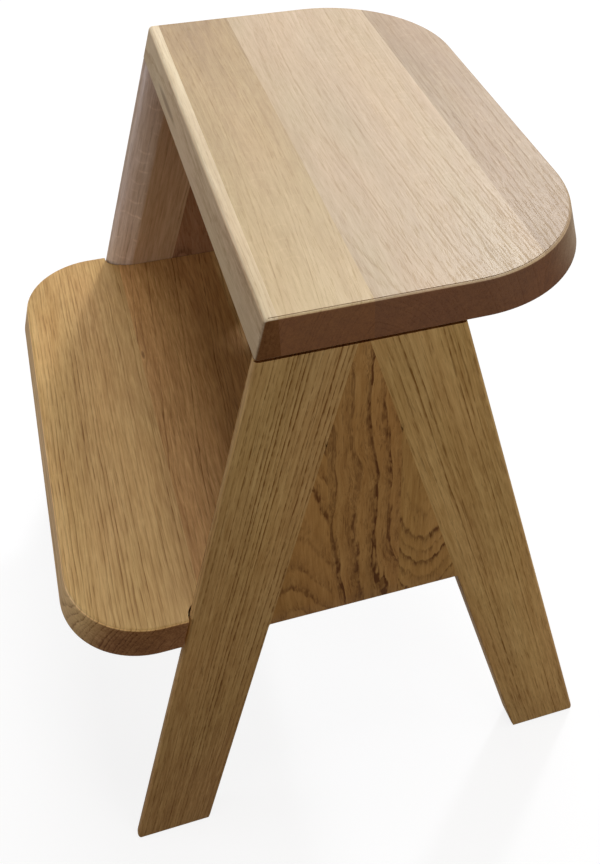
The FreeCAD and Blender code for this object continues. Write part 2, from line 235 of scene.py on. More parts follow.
# Open pores: dashes along the grain in two sizes. The dark part of each ring makes room for more of them.
def buildPoreDashes():
    finer = (2.3, 2.3, 2.7)    # pitch of the short dashes, in long ones
    group, given, put = newGroup("poreDashes", [
        ("Vector", "Vector"), ("Crowd", "Float"), ("Scatter", "Float"), ("Pore Width", "Float"),
        ("Pore Length", "Float"),
    ], [("Pore", "Float")])
    across = calc(group, "DIVIDE", 0.5, given["Pore Width"])
    pitch = join(group, across, across, calc(group, "DIVIDE", 0.5, given["Pore Length"]))
    long = noise(group, given["Vector"], pitch)
    short = noise(group, given["Vector"], calcVector(group, "MULTIPLY", pitch, finer))
    room = calc(group, "MULTIPLY_ADD", given["Crowd"], 0.3, given["Scatter"])
    long = ramp(group, calc(group, "ADD", long, room), 0.70, 0.79)
    short = ramp(group, calc(group, "ADD", short, room), 0.68, 0.80)
    feed(group, put["Pore"], calc(group, "MAXIMUM", long, calc(group, "MULTIPLY", short, 0.75)))
    return group


# Ray flecks: thin sheets that run out from the pith. They show as small pale crescents where the face
# runs that way too, and not at all where it lies along the rings.
def buildRayFlecks():
    sheetPitch = (9, 50, 100)    # cells per radian, per metre out from the pith and per metre along it
    group, given, put = newGroup("rayFlecks", [
        ("Vector", "Vector"), ("Normal", "Vector"), ("Seed", "Float"),
    ], [("Fleck", "Float")])
    across, inward, along = split(group, given["Vector"])
    distance = fromPith(group, across, inward)
    angle = calc(group, "ADD", calc(group, "ARCTAN2", inward, across), given["Seed"])
    place = calcVector(group, "MULTIPLY", join(group, angle, distance, along), sheetPitch)
    sheets = addNode(group, "ShaderNodeTexVoronoi")
    feed(group, sheets.inputs["Vector"], place)
    sheets.inputs["Scale"].default_value = 1.0
    sheets.inputs["Randomness"].default_value = 0.6
    away = sheets.outputs["Distance"]
    rim = calc(group, "MULTIPLY", ramp(group, away, 0.22, 0.31), ramp(group, away, 0.33, 0.46, 1.0, 0.0))
    chance = split(group, sheets.outputs["Color"])[0]
    rim = calc(group, "MULTIPLY", rim, ramp(group, chance, 0.1, 0.8, 0.3, 1.0))
    rise = split(group, calcVector(group, "SUBTRACT", sheets.outputs["Position"], place))[2]
    rim = calc(group, "MULTIPLY", rim, ramp(group, rise, -0.02, 0.18))    # the lower half of each rim
    facing = split(group, given["Normal"])
    around = calc(group, "SUBTRACT", calc(group, "MULTIPLY", across, facing[1]),
                  calc(group, "MULTIPLY", inward, facing[0]))
    sawn = ramp(group, calc(group, "ABSOLUTE", calc(group, "DIVIDE", around, distance)), 0.55, 0.9)
    feed(group, put["Fleck"], calc(group, "MULTIPLY", rim, sawn))
    return group


# A pin knot or a dark streak: the grain bows around a dark core. Distances from its centre are counted in
# knot sizes, with the grain's direction squeezed by the length, and the pull fades as a bell curve.
def buildPinKnot():
    neverZero = 0.00000001
    group, given, put = newGroup("pinKnot", [
        ("Vector", "Vector"), ("Centre", "Vector"), ("Size", "Float"), ("Length", "Float"),
    ], [("Vector", "Vector"), ("Core", "Float")])
    offset = calcVector(group, "SUBTRACT", given["Vector"], given["Centre"])
    squeeze = join(group, 1.0, 1.0, calc(group, "DIVIDE", 1.0, given["Length"]))
    squeezed = calcVector(group, "MULTIPLY", offset, squeeze)
    area = calc(group, "MULTIPLY_ADD", given["Size"], given["Size"], neverZero)
    spread = calc(group, "DIVIDE", calcVector(group, "DOT_PRODUCT", squeezed, squeezed), area)
    bell = calc(group, "EXPONENT", calc(group, "MULTIPLY", spread, -0.35))
    share = calc(group, "MULTIPLY", bell, -0.85)
    pull = join(group, share, share, 0.0)
    feed(group, put["Vector"], calcVector(group, "MULTIPLY_ADD", offset, pull, given["Vector"]))
    feed(group, put["Core"], ramp(group, spread, 0.0, 0.9, 1.0, 0.0))
    return group


grainWander = buildGrainWander()
pinKnot = buildPinKnot()
treeRings = buildTreeRings()
poreDashes = buildPoreDashes()
rayFlecks = buildRayFlecks()

# The oak group's sockets, each with the name that a board's look gives it
oakNumbers = {
    "Ring Width": "ringWidth", "Taper": "taper", "Sweep": "sweep", "Waviness": "waviness",
    "Wave Pitch": "wavePitch", "Raggedness": "ragged", "Line Width": "lineWidth", "Seed": "seed",
    "Line Strength": "lines", "Line Fade": "fade", "Band Strength": "bands", "Pore Strength": "pores",
    "Pore Width": "poreWidth", "Pore Length": "poreLength", "Pore Scatter": "scatter",
    "Fleck Strength": "flecks", "Fibre Strength": "fibre", "Tone Change": "toneChange",
    "Tone And Shade Along": "toneAndShadeAlong", "Tone Across": "toneAcross", "Sap And Sheen Radius": "sapAndSheenRadius",
    "Sap And Sheen Strength": "sapAndSheen", "Knot Size": "knotSize", "Knot Length": "knotLength", "Rim Highlight Strength": "rim",
}
oakColours = {
    "Late Wood": "late", "Early Wood": "early", "Pore Colour": "pore", "End Grain": "end",
    "Side Shade Tint": "side",
}
# What a board has unless its look says otherwise
plainOak = {
    "taper": 0.0, "sweep": 0.0, "ragged": 0.0014, "lineWidth": 0.4, "fade": 0.0, "bands": 0.35,
    "scatter": 0.0, "toneAndShadeAlong": 0.0, "toneAcross": 0.0, "sapAndSheenRadius": 1.0, "sapAndSheen": 0.0, "rim": 0.0,
    "knot": (0, 0, 9), "knotSize": 0.0, "knotLength": 2.2, "side": (255, 255, 255),
    "bumpStrength": 0.25, "bumpDepth": 0.0002,
}
# How much paler sapwood, ray flecks and sanded edges are than the wood around them. The bluish sapwood tint
# also stands for painted light and sheen, and the edge tint is partly a painted highlight on rounded edges.
oakTints = {
    "sapAndSheen": (1.22, 1.42, 1.78, 1.0), "fleck": (1.26, 1.30, 1.36, 1.0), "sandedAndHighlit": (1.5, 1.52, 1.58, 1.0),
}


def passOn(given, *labels):
    return {label: given[label] for label in labels}


# Oiled oak: rings, pores, flecks and fibres over a slow change of tone, darker where the grain ends
def buildOiledOak():
    dashPitch = 420                    # dashes per metre across the grain, which break the ring lines
    redder = (0.75, 1.0, 1.35)         # powers of the shade: darker wood is also redder
    hueDrift = (0.10, 0.03, 0.11)
    group, given, put = newGroup("oiledOak", [
        ("Vector", "Vector"), ("Normal", "Vector"), ("Knot Centre", "Vector"),
        *((label, "Float") for label in oakNumbers), *((label, "Color") for label in oakColours),
    ], [("Colour", "Color"), ("Roughness", "Float"), ("Height", "Float")])
    knot = useGroup(group, pinKnot, {
        "Vector": given["Vector"], "Centre": given["Knot Centre"], "Size": given["Knot Size"],
        "Length": given["Knot Length"]})
    vector = useGroup(group, grainWander, {
        "Vector": knot["Vector"], **passOn(given, "Waviness", "Wave Pitch", "Seed")})["Vector"]
    rings = useGroup(group, treeRings, {"Vector": vector, **passOn(
        given, "Ring Width", "Taper", "Sweep", "Raggedness", "Line Width", "Seed")})
    crowd = calc(group, "MAXIMUM", rings["Line"], calc(group, "MULTIPLY", rings["Band"], 0.5))
    pore = useGroup(group, poreDashes, {
        "Vector": vector, "Crowd": crowd, "Scatter": given["Pore Scatter"],
        **passOn(given, "Pore Width", "Pore Length")})["Pore"]
    fleck = useGroup(group, rayFlecks, {"Vector": vector, **passOn(given, "Normal", "Seed")})["Fleck"]
    across, inward, along = split(group, vector)
    side, flat, endways = [calc(group, "ABSOLUTE", part) for part in split(group, given["Normal"])]
    ended = ramp(group, calc(group, "MULTIPLY_ADD", flat, -0.6, endways), 0.2, 0.75)

    # Ring lines, faded along the board, in patches and broken by dashes
    fade = calc(group, "MULTIPLY_ADD", along, given["Line Fade"], 1.0)
    fade = calc(group, "MINIMUM", calc(group, "MAXIMUM", fade, 0.25), 1.6)
    patch = ramp(group, noise(group, vector, (42, 42, 9), detail=2.0), 0.3, 0.7, 0.35, 1.3)
    dashLength = calc(group, "DIVIDE", 1.0, given["Pore Length"])
    dashes = noise(group, vector, join(group, dashPitch, dashPitch, dashLength))
    broken = calc(group, "MULTIPLY", patch, ramp(group, dashes, 0.36, 0.62, 1.4, 0.35))
    strength = calc(group, "MULTIPLY", calc(group, "MULTIPLY", given["Line Strength"], fade), broken)
    strength = calc(group, "MULTIPLY", strength, calc(group, "MULTIPLY_ADD", ended, 0.5, 1.0))
    band = calc(group, "MULTIPLY_ADD", rings["Band"], given["Band Strength"], rings["Line"])
    lines = calc(group, "MULTIPLY", band, strength, clamp=True)
    colour = mixColour(group, lines, given["Late Wood"], given["Early Wood"])

    # Slow changes of tone, and strands of three widths. On the legs and infill the change along the log
    # stands for a painted shade low down and a painted sheen high up.
    slow = swing(group, vector, (30, 30, 6), detail=2.5, roughness=0.6)
    fibre = swing(group, vector, (850, 850, 55), detail=2.0, roughness=0.6)
    streak = swing(group, vector, (330, 330, 22), detail=2.0, roughness=0.6)
    broad = swing(group, vector, (90, 90, 5), detail=1.5)
    shade = calc(group, "MULTIPLY_ADD", slow, given["Tone Change"], 1.0)
    shade = calc(group, "MULTIPLY_ADD", along, given["Tone And Shade Along"], shade)
    shade = calc(group, "MULTIPLY_ADD", across, given["Tone Across"], shade)
    strands = calc(group, "MULTIPLY_ADD", fibre, 1.15, calc(group, "MULTIPLY", streak, 0.85))
    strands = calc(group, "MULTIPLY_ADD", broad, 0.65, strands)
    strands = calc(group, "MULTIPLY", strands, calc(group, "MULTIPLY_ADD", ended, 0.9, 1.0))
    shade = calc(group, "MULTIPLY_ADD", strands, given["Fibre Strength"], shade)
    shades = [calc(group, "POWER", shade, power) for power in redder]
    colour = tinted(group, colour, join(group, *shades))
    drift = noise(group, vector, (34, 34, 9), output="Color")
    drift = calcVector(group, "SUBTRACT", drift, (0.5, 0.5, 0.5))
    colour = tinted(group, colour, calcVector(group, "MULTIPLY_ADD", drift, hueDrift, (1.0, 1.0, 1.0)))

    # Pores, pale sapwood past its radius, which also stands for painted light and sheen, flecks and the
    # knot's core
    pored = calc(group, "MULTIPLY", pore, given["Pore Strength"], clamp=True)
    colour = mixColour(group, pored, colour, given["Pore Colour"])
    beyond = calc(group, "SUBTRACT", fromPith(group, across, inward), given["Sap And Sheen Radius"])
    sapAndSheen = calc(group, "MULTIPLY", ramp(group, beyond, -0.0012, 0.0012), given["Sap And Sheen Strength"])
    colour = mixColour(group, sapAndSheen, colour, tinted(group, colour, oakTints["sapAndSheen"]))
    shown = calc(group, "ADD", calc(group, "SUBTRACT", 1.0, given["Sap And Sheen Strength"]), sapAndSheen)
    flecked = calc(group, "MULTIPLY", fleck, given["Fleck Strength"])
    flecked = calc(group, "MULTIPLY", flecked, shown, clamp=True)
    colour = mixColour(group, flecked, colour, tinted(group, colour, oakTints["fleck"]))
    colour = mixColour(group, calc(group, "MULTIPLY", knot["Core"], 0.7), colour, given["Pore Colour"])

    # Sides, ends and rounded edges, told apart by the way the surface faces. The side tint is a painted
    # shade, and the paler rounded edges are partly sanding and partly a painted highlight.
    sideShaded = ramp(group, side, 0.6, 0.9)
    colour = mixColour(group, sideShaded, colour, tinted(group, colour, given["Side Shade Tint"]))
    colour = mixColour(group, ended, colour, tinted(group, colour, given["End Grain"]))
    # Rounded edges are paled by the rim strength: partly sanded wood, partly a painted highlight
    cube = calc(group, "MULTIPLY", flat, calc(group, "MULTIPLY", flat, flat))
    bevel = ramp(group, calc(group, "SUBTRACT", flat, cube), 0.30, 0.37)
    rim = calc(group, "MULTIPLY", bevel, given["Rim Highlight Strength"])
    colour = mixColour(group, rim, colour, tinted(group, colour, oakTints["sandedAndHighlit"]))
    feed(group, put["Colour"], colour)
    rough = calc(group, "MULTIPLY_ADD", pore, 0.14, calc(group, "MULTIPLY_ADD", slow, 0.12, 0.46))
    feed(group, put["Roughness"], calc(group, "MULTIPLY_ADD", ended, 0.16, rough, clamp=True))
    height = calc(group, "MULTIPLY_ADD", pore, -1.0, calc(group, "MULTIPLY", fibre, 0.35))
    feed(group, put["Height"], calc(group, "MULTIPLY_ADD", rings["Line"], -0.3, height))
    return group


oiledOak = buildOiledOak()
print("oak node groups built")


def oakMaterial(name, look):
    # Object coordinates are turned into the log's own: across, inward and along the pith
    look = {**plainOak, **look}
    pith = Vector(look["pith"])
    grain = Vector(look["grain"]).normalized()
    across = grain.cross(Vector(look["face"])).normalized()
    turn = Matrix((across, grain.cross(across), grain))
    material = bpy.data.materials.new(name)
    material.use_nodes = True
    tree = material.node_tree
    shader = tree.nodes["Principled BSDF"]
    coordinates = addNode(tree, "ShaderNodeTexCoord")
    place = addNode(tree, "ShaderNodeMapping", vector_type="POINT")
    place.inputs["Rotation"].default_value = turn.to_euler()
    place.inputs["Location"].default_value = -(turn @ pith)
    feed(tree, place.inputs["Vector"], coordinates.outputs["Object"])
    facing = addNode(tree, "ShaderNodeMapping", vector_type="VECTOR")
    facing.inputs["Rotation"].default_value = turn.to_euler()
    feed(tree, facing.inputs["Vector"], coordinates.outputs["Normal"])
    oak = useGroup(tree, oiledOak, {
        "Vector": place.outputs[0], "Normal": facing.outputs[0],
        "Knot Centre": turn @ (Vector(look["knot"]) - pith),
        **{label: look[key] for label, key in oakNumbers.items()},
        **{label: tone(*look[key]) for label, key in oakColours.items()},
    })
    bump = addNode(tree, "ShaderNodeBump")
    bump.inputs["Strength"].default_value = look["bumpStrength"]
    bump.inputs["Distance"].default_value = look["bumpDepth"]
    feed(tree, bump.inputs["Height"], oak["Height"])
    feed(tree, shader.inputs["Base Color"], oak["Colour"])
    feed(tree, shader.inputs["Roughness"], oak["Roughness"])
    feed(tree, shader.inputs["Normal"], bump.outputs[0])
    shader.inputs["Specular IOR Level"].default_value = look["gloss"]
    return material


def dress(node, material):
    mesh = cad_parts[node].data
    mesh.materials.clear()
    mesh.materials.append(material)


meshCare = {
    "merge": 0.000004, "cut": 0.000001,    # how close points count as one, in metres
    "sharp": math.radians(32),             # faces that meet at more than this stay crisp
}


def finishPiece(name, mesh, material):
    mesh.polygons.foreach_set("use_smooth", np.ones(len(mesh.polygons), dtype=bool))
    mesh.set_sharp_from_angle(angle=meshCare["sharp"])
    mesh.materials.append(material)
    piece = bpy.data.objects.new(name, mesh)
    scene.collection.objects.link(piece)
    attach(piece, "root")
    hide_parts(name.removesuffix("_shaped"))


# A mesh from closed rings: each level is joined to the next, and both ends are capped
def loftMesh(name, rings):
    levels, count = rings.shape[:2]
    index = np.arange(levels * count).reshape(levels, count)
    here = index[:-1]
    above = index[1:]
    hereNext = np.roll(here, -1, axis=1)
    aboveNext = np.roll(above, -1, axis=1)
    quads = np.stack([here, hereNext, aboveNext, above], axis=-1).reshape(-1, 4)
    caps = [index[0][::-1].tolist(), index[-1].tolist()]
    points = rings.reshape(-1, 3)
    corners = points[quads]
    centre = points.mean(axis=0)
    outward = np.cross(corners[:, 2] - corners[:, 0], corners[:, 3] - corners[:, 1])
    if np.sum(outward * (corners.mean(axis=1) - centre)) < 0:    # inside out
        quads = quads[:, ::-1]
        caps = [cap[::-1] for cap in caps]
    mesh = bpy.data.meshes.new(name)
    mesh.from_pydata(points.tolist(), [], quads.tolist() + caps)
    shell = bmesh.new()
    shell.from_mesh(mesh)
    bmesh.ops.remove_doubles(shell, verts=shell.verts, dist=meshCare["merge"])
    shell.to_mesh(mesh)
    shell.free()
    return mesh


def addLoft(name, rings, material):
    finishPiece(name, loftMesh(name, rings), material)


# Side frames, written for the right one. Both lean inwards by the splay, and their legs lean towards each
# other by the rake. The grain runs along each leg and up the infill panel.
frameLean = {"splay": 6.2, "rake": 16.6}    # degrees
splay = math.radians(frameLean["splay"])
lean = math.tan(splay)                                                 # width lost per height
slope = math.tan(math.radians(frameLean["rake"])) / math.cos(splay)    # depth gained per height, along a leg
frameFace = (math.cos(splay), 0, math.sin(splay))
frameGrain = {"face": frameFace, "end": (160, 124, 100), "gloss": 0.12,
              "poreWidth": 0.0005, "poreLength": 0.006, "fibre": 0.65}
# The tone along each leg and infill stave darkens and reddens it towards the floor and pales and greys it
# towards the seat: a painted shade low down and a painted sheen high up.
frameLooks = {
    "front_leg": {
        "grain": (-lean, slope, 1), "pith": (0.13, -0.25, 0.25), "ringWidth": 0.0024, "ragged": 0.0012,
        "waviness": 0.0012, "wavePitch": 5, "lineWidth": 0.38, "seed": 2.2, "fade": 1.5,
        "lines": 0.58, "pores": 0.36, "flecks": 0.15, "toneChange": 0.4, "toneAndShadeAlong": 1.2,
        "fibre": 0.8, "rim": 0.4, "late": (191, 152, 95), "early": (136, 95, 46), "pore": (106, 70, 31)},
    "rear_leg": {
        "grain": (-lean, -slope, 1), "pith": (0.14, 0.19, 0.25), "ringWidth": 0.0034, "ragged": 0.0012,
        "waviness": 0.0016, "wavePitch": 5, "lineWidth": 0.4, "seed": 6.6, "fade": 1.3,
        "lines": 0.55, "pores": 0.35, "scatter": 0.02, "fibre": 0.75, "flecks": 0.15, "toneChange": 0.4,
        "poreLength": 0.010, "rim": 0.4, "toneAndShadeAlong": 0.6,
        "late": (208, 168, 106), "early": (152, 110, 56), "pore": (112, 74, 31)},
    "infill_front": {
        "grain": (-lean, 0, 1), "pith": (0.165, -0.045, 0.22), "ringWidth": 0.0075,
        "taper": -0.3, "sweep": 0.5, "waviness": 0.006, "wavePitch": 9, "lineWidth": 0.4, "ragged": 0.004,
        "seed": 4.8, "bands": 0.8, "lines": 0.45, "pores": 0.4, "flecks": 0.1, "toneChange": 0.8,
        "toneAndShadeAlong": 0.8, "late": (178, 132, 74), "early": (112, 70, 30), "pore": (92, 56, 22)},
    "infill_middle": {
        "grain": (-lean, 0, 1), "pith": (0.150, 0.060, 0.28), "ringWidth": 0.0095, "taper": 0.03,
        "waviness": 0.009, "wavePitch": 10, "lineWidth": 0.28, "ragged": 0.005, "seed": 8.3, "bands": 0.5,
        "lines": 0.8, "pores": 0.4, "flecks": 0.1, "toneChange": 0.8, "scatter": 0.04, "toneAndShadeAlong": 0.8,
        "late": (184, 138, 80), "early": (105, 64, 27), "pore": (88, 52, 20)},
    "infill_rear": {
        "grain": (-lean, 0, 1), "pith": (0.180, 0.046, 0.24), "ringWidth": 0.0056,
        "taper": 0.38, "sweep": -1.6, "waviness": 0.003, "wavePitch": 12, "lineWidth": 0.45, "ragged": 0.004,
        "seed": 11.5, "bands": 0.5, "lines": 0.45, "pores": 0.4, "flecks": 0.1, "toneChange": 0.6,
        "toneAndShadeAlong": 0.8, "late": (184, 140, 80), "early": (108, 68, 30), "pore": (90, 55, 22)},
}
# The left frame comes from quieter boards. Its infill staves are darker and redder: a painted shade, for the
# shade that the seat and the near frame cast on them. Its front leg has pale sapwood with ray flecks at the
# free edge, and that paleness is also a painted light and sheen on its rounded nose.
leftLooks = {
    "front_leg": {"pith": (0.19, 0.03, 0.25), "lines": 0.3, "pores": 0.2, "flecks": 0.9, "ringWidth": 0.0034,
                  "late": (198, 164, 129), "early": (164, 128, 93), "pore": (132, 98, 68), "gloss": 0.6,
                  "rim": 0.0, "sapAndSheenRadius": 0.113, "sapAndSheen": 1.0, "toneAndShadeAlong": 0.0, "fibre": 0.6},
    "rear_leg": {"lines": 0.4, "late": (204, 166, 116), "early": (156, 116, 72), "rim": 0.0},
    "infill_front": {"lines": 0.2, "late": (154, 112, 80), "early": (104, 70, 44)},
    "infill_middle": {"lines": 0.3, "late": (152, 110, 77), "early": (98, 64, 38)},
    "infill_rear": {"lines": 0.3, "late": (156, 114, 80), "early": (102, 68, 42)},
}


def mirrorLook(look):
    flipped = dict(look)
    for name in ("grain", "face", "pith"):
        x, y, z = look[name]
        flipped[name] = (-x, y, z)
    flipped["seed"] = look["seed"] + 17.3
    return flipped


# Legs: a moulded profile carried along the leg's line and cut level, from the sole to the seat
legShape = {
    "corner": (0.178, -0.05508, 0.426),   # outer face and free edge, under the seat
    "width": 0.054, "thickness": 0.018,
    "noseRound": 0.003, "noseFlat": 0.001,
    "innerNose": 0.009, "innerReach": 0.024, "innerFlat": 0.034,    # the long round on the inner corner
    "arris": 0.0009, "jointArris": 0.00002,                         # edges under the arch, and at the panel
    "arrisEnd": (0.001, 0.0005),          # below and above the panel's foot, where one turns into the other
    "lowerLevels": (0.03, 0.1, 0.18), "upperLevels": (0.3, 0.38),   # heights of rings in the plain lengths
    "archFoot": 0.006, "noseFoot": 0.0036, "sideFoot": 0.0015,      # rounds at the sole
    "gapHeight": 0.0010, "gapDepth": 0.0025,                        # shadow gap under the seat
    "panelFoot": 0.215, "middle": 0.004265,
}


def turnAbout(axis, degrees):
    return np.array(Matrix.Rotation(math.radians(degrees), 3, axis))


legTurn = turnAbout("Y", -frameLean["splay"]) @ turnAbout("Z", 90) @ turnAbout("Y", frameLean["rake"])


def arc(centreX, centreY, radius, start, finish, count):
    # Points on a circle and their directions out of it
    angle = np.radians(np.linspace(start, finish, count))
    ways = np.stack([np.cos(angle), np.sin(angle)], axis=-1)
    return np.array([centreX, centreY]) + radius * ways, ways


def joinRuns(runs):
    return np.concatenate([run[0] for run in runs]), np.concatenate([run[1] for run in runs])


def innerRound(shape):
    # The long round from the inner face to the free edge: two arcs that meet without a corner
    start = shape["noseRound"] + shape["noseFlat"]
    tight = shape["innerNose"]
    flat = shape["innerFlat"]
    reach = shape["innerReach"]
    thick = shape["thickness"]
    meet = math.degrees(math.atan2(start - (thick - flat), tight - reach))
    return [arc(reach, thick - flat, flat, 90, meet, 9), arc(tight, start, tight, meet, 180, 10)]


def legProfile(shape, arris):
    # Across the leg from its free edge, and inward from its outer face, anticlockwise
    wide = shape["width"]
    thick = shape["thickness"]
    nose = shape["noseRound"]
    return joinRuns([
        arc(wide - arris, arris, arris, -90, 0, 5),
        arc(wide - arris, thick - arris, arris, 0, 90, 5),
        *innerRound(shape),
        arc(nose, nose, nose, 180, 270, 8),
    ])


def onLeg(shape, profile, height):
    # Slides profile points along the leg's line until they reach a height
    flat = np.concatenate([profile, np.zeros((len(profile), 1))], axis=1)
    start = np.array(shape["corner"]) + flat @ legTurn.T
    line = legTurn[:, 2]
    return start + line * ((height - start[:, 2:]) / line[2])


# Where rings are laid in a rounded edge, as shares of its radius from the face
roundSteps = np.array([0, 0.03, 0.1, 0.2, 0.33, 0.5, 0.72, 1.0])


def roundInset(away, radius):
    # How far a rounded edge stands back at a distance from the face: the circle's radius less its half chord
    rest = np.clip(radius - away, 0, None)
    return radius - np.sqrt(radius ** 2 - rest ** 2)


def legRings(shape):
    top = shape["corner"][2]
    gap = top - shape["gapHeight"]
    foot = shape["panelFoot"]
    under, over = shape["arrisEnd"]
    heights = [*(roundSteps * shape["archFoot"]), *shape["lowerLevels"], foot - under, foot + over,
               *shape["upperLevels"], gap - over, gap]
    rings = []
    for height in heights:
        profile, ways = legProfile(shape, shape["arris"] if height < foot else shape["jointArris"])
        ring = onLeg(shape, profile, height)
        endRound = np.where(ways[:, 0] > 0, shape["archFoot"], shape["noseFoot"])
        radius = ways[:, 0] ** 2 * endRound + ways[:, 1] ** 2 * shape["sideFoot"]
        inset = roundInset(height, radius)[:, None]
        ring -= inset * np.stack([-ways[:, 1], ways[:, 0], np.zeros(len(ways))], axis=-1)
        rings.append(ring)
    neck = legProfile(shape, shape["jointArris"])[0]
    neck[:, 1] = np.maximum(neck[:, 1], shape["gapDepth"])
    rings += [onLeg(shape, neck, gap), onLeg(shape, neck, top)]
    return np.array(rings)


# Infill staves: upright strips between the two legs' joint lines, with softened lower edges
infillShape = {
    "lines": (-0.018735, 0.027265),       # where the staves meet, along the depth
    "arris": 0.0009, "arrisSteps": (0, 0.1, 0.35, 1.0), "leastWidth": 0.00001,
    "firstLevel": 0.012, "levels": 24,    # rings over the panel's foot, so that the slanted sides stay true
}


def infillRings(shape, stave):
    leg = legShape
    top = leg["corner"][2]
    gap = top - leg["gapHeight"]
    foot = leg["panelFoot"]
    rise = np.array(shape["arrisSteps"]) * shape["arris"]
    levels = np.linspace(foot + shape["firstLevel"], gap, shape["levels"])
    heights = np.concatenate([foot + rise, levels, [gap, top]])
    inset = roundInset(heights - foot, shape["arris"])
    edges = np.array([(leg["width"], 0.0), (leg["width"], leg["thickness"])])
    joint = np.array([onLeg(leg, edges, height) for height in heights])
    opposite = 2 * leg["middle"] - joint[:, :, 1]
    frontLine, rearLine = shape["lines"]
    if stave == "infill_front":
        front = np.minimum(joint[:, :, 1], frontLine)
        rear = np.full_like(front, frontLine)
    elif stave == "infill_middle":
        front = np.maximum(joint[:, :, 1], frontLine)
        rear = np.minimum(opposite, rearLine)
    else:
        front = np.full_like(opposite, rearLine)
        rear = np.maximum(opposite, rearLine)
    outer = joint[:, 0, 0] - inset
    outer[-2:] = outer[-2:] - leg["gapDepth"]
    inner = joint[:, 1, 0] + inset
    xs = np.stack([outer, outer, inner, inner], axis=-1)
    ys = np.stack([front[:, 0], rear[:, 0], rear[:, 1], front[:, 1]], axis=-1)
    rings = np.stack([xs, ys, np.repeat(heights[:, None], 4, axis=1)], axis=-1)
    width = rear[:, 0] - front[:, 0]
    last = int(np.count_nonzero(width > shape["leastWidth"])) + 1    # a side stave ends in a point
    return rings[:last]


def mirrored(rings, axis, centre=0.0):
    flipped = rings.copy()
    flipped[..., axis] = 2 * centre - flipped[..., axis]
    return flipped


frontLeg = legRings(legShape)
frameRings = {"front_leg": frontLeg, "rear_leg": mirrored(frontLeg, 1, legShape["middle"])}
for stave in ("infill_front", "infill_middle", "infill_rear"):
    frameRings[stave] = infillRings(infillShape, stave)
for node, rings in frameRings.items():
    whole = {**frameGrain, **frameLooks[node]}
    addLoft(f"right_{node}_shaped", rings, oakMaterial(f"right_{node}.oak", whole))
    whole = mirrorLook({**whole, **leftLooks[node]})
    addLoft(f"left_{node}_shaped", mirrored(rings, 0), oakMaterial(f"left_{node}.oak", whole))
print("legs and infill staves shaped")

# Seat: a pale front strip and three staves, grain along the width. Their cream colours are partly the wood's
# own and partly a painted sheen.
seatGrain = {"grain": (1, 0, 0), "face": (0, 0, 1), "end": (160, 118, 83), "gloss": 0.5, "rim": 0.8,
             "poreWidth": 0.0004, "poreLength": 0.007, "lineWidth": 0.35, "fibre": 0.36}
seatLooks = {
    "seat_front_strip": {
        "pith": (0, 0.10, 0.40), "ringWidth": 0.0022, "waviness": 0.0012, "wavePitch": 3, "seed": 3.1,
        # Painted shade: the strip darkens towards the near end by its tone along, and the side tint makes
        # its front face darker and warmer. Its rim pales the rounded edge as a painted highlight.
        "lines": 0.25, "pores": 0.12, "flecks": 0.2, "toneChange": 0.5, "toneAndShadeAlong": -0.35,
        "gloss": 0.15, "rim": 0.4, "end": (143, 106, 74), "side": (238, 230, 220),
        "knot": (-0.085, -0.0535, 0.4345), "knotSize": 0.0034, "knotLength": 12,
        "late": (223, 203, 168), "early": (190, 160, 124), "pore": (128, 96, 64)},
    "seat_front_stave": {
        "pith": (0.10, 0.05, 0.404), "ringWidth": 0.0026, "taper": 0.05, "sweep": 0.2,
        "waviness": 0.002, "wavePitch": 5, "seed": 7.4, "toneAndShadeAlong": 1.3, "scatter": 0.02,
        "lines": 0.3, "pores": 0.14, "flecks": 0.2, "toneChange": 0.45,
        "late": (193, 166, 120), "early": (168, 137, 91), "pore": (138, 106, 68)},
    "seat_middle_stave": {
        "pith": (0.10, 0.0, 0.40), "ringWidth": 0.0026, "taper": 0.05, "sweep": 0.2,
        "waviness": 0.002, "wavePitch": 5, "seed": 12.6, "scatter": 0.05,
        "lines": 0.25, "pores": 0.13, "flecks": 0.2, "toneChange": 0.25,
        "late": (193, 167, 131), "early": (174, 145, 108), "pore": (144, 113, 79)},
    "seat_rear_stave": {
        "pith": (0, 0.21, 0.41), "ringWidth": 0.0034, "taper": 0.02, "waviness": 0.002, "wavePitch": 5,
        "seed": 21.3, "toneAcross": -3.0, "toneAndShadeAlong": 0.5, "scatter": 0.04,
        "lines": 0.25, "pores": 0.14, "flecks": 0.25, "toneChange": 0.3,
        "late": (186, 161, 128), "early": (166, 139, 107), "pore": (132, 105, 77), "end": (172, 126, 84)},
}

# The seat's shape: an outline with two round corners, carried through the thickness with its edges drawn in,
# then cut into staves. The front edge is rounded more than the others.
seatShape = {
    "top": 0.45, "under": 0.426,
    "topFace": (0.1754, -0.04789, 0.15511),       # half width, front and rear
    "underFace": (0.178, -0.05508, 0.16231),
    "rearCorner": 0.0875, "frontCorner": 0.0024,
    "frontRound": 0.0022, "endRound": 0.0012, "endReach": 1.15, "underRound": 0.001,
    "quirk": 0.0003,                              # fine step between the top face and the rounded ends
    "lines": (-0.04089, 0.01011, 0.11211),        # where the staves meet
}


def edgeDepths(thick, upper, under, quirk=0.0):
    # Depths below the top face at which outlines are laid, close together in the rounded edges
    return np.concatenate([[0.0], quirk + roundSteps * upper, [thick / 2], thick - roundSteps[::-1] * under])


def seatOutline(shape, half, front, rear):
    big = shape["rearCorner"]
    small = shape["frontCorner"]
    return joinRuns([
        arc(half - small, front + small, small, -90, 0, 6),
        arc(half - big, rear - big, big, 0, 90, 44),
        arc(big - half, rear - big, big, 90, 180, 44),
        arc(small - half, front + small, small, 180, 270, 6),
    ])


